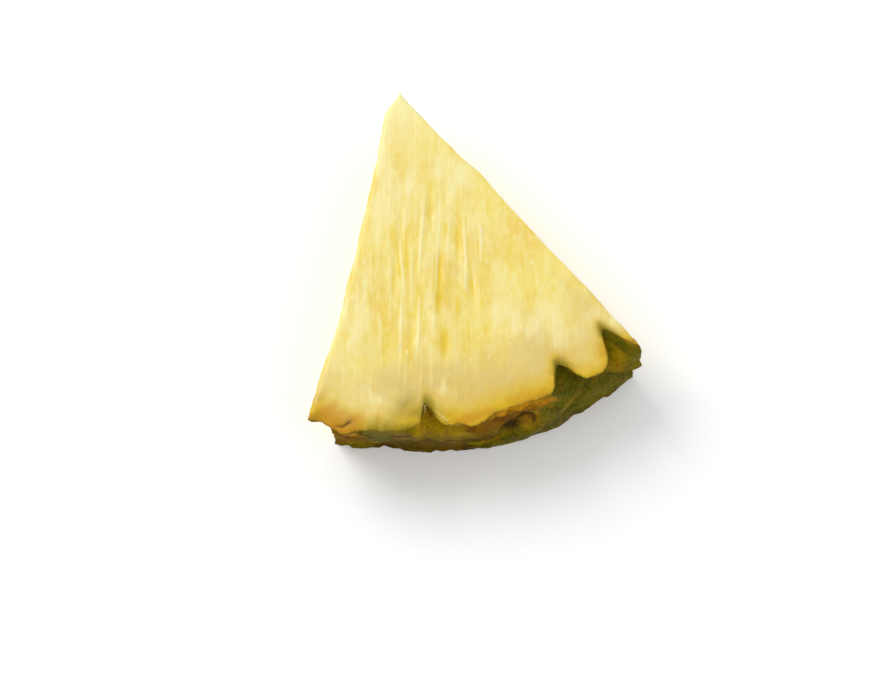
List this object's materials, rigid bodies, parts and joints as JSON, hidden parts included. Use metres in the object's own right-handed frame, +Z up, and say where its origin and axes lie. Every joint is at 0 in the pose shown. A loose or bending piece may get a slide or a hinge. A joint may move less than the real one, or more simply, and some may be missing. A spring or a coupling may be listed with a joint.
{
  "type": "pineapple chunk",
  "caption": "Wedge of fresh pineapple cut from a round slice, with yellow fibrous flesh running to a point and a curved green-brown rind along its outer edge.",
  "frame": {"origin": "middle of the bounding box, on the surface that the wedge lies on", "axes": "+Z up, out of the front cut face; +Y towards the wedge's point; the rind faces -Y; +X to the right of the shown face"},
  "size_m": [0.0572, 0.0602, 0.0173],
  "materials": {
    "pineapple": "moist cut fruit flesh, pale yellow, with a dull olive and brown rind along the outer edge"
  },
  "bodies": {
    "root": {"pineapple_chunk": "pineapple"}
  },
  "joints": []
}
